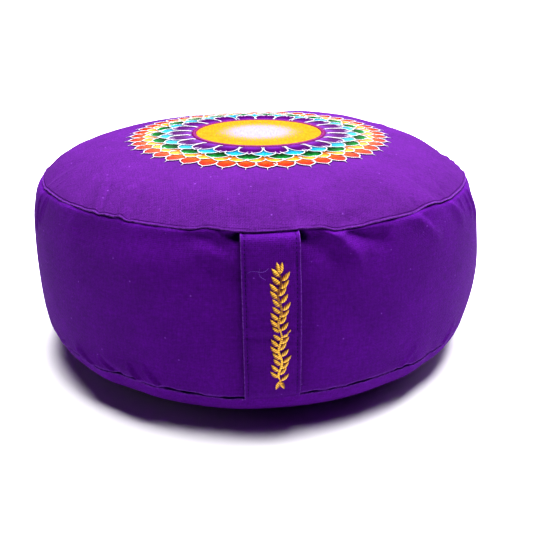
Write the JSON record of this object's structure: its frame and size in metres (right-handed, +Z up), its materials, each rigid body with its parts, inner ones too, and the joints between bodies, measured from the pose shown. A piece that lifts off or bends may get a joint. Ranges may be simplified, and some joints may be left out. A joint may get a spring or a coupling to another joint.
{
  "type": "round meditation cushion",
  "caption": "Round boxed zafu meditation cushion, tightly filled, with a domed top, a bellied side band and a flat carrying strap sewn into both seams.",
  "frame": {"origin": "centre of the flat base, on the floor", "axes": "+Z up through the middle of the crown, the carrying strap on the -Y side"},
  "size_m": [0.3561, 0.3581, 0.1645],
  "materials": {
    "band_canvas": "violet plain-woven cotton canvas, matt",
    "top_canvas": "violet plain-woven cotton canvas, matt, embroidered in the middle",
    "base_canvas": "violet plain-woven cotton canvas, matt",
    "strap_canvas": "violet plain-woven cotton canvas folded double and topstitched",
    "embroidery_thread": "glossy rayon embroidery thread in satin stitch, many colours",
    "sewing_thread": "spun polyester sewing thread, dyed to match the canvas"
  },
  "bodies": {
    "root": {"cushion": "band_canvas", "top_panel": "top_canvas", "bottom_panel": "base_canvas", "strap_handle": "strap_canvas"}
  },
  "joints": []
}
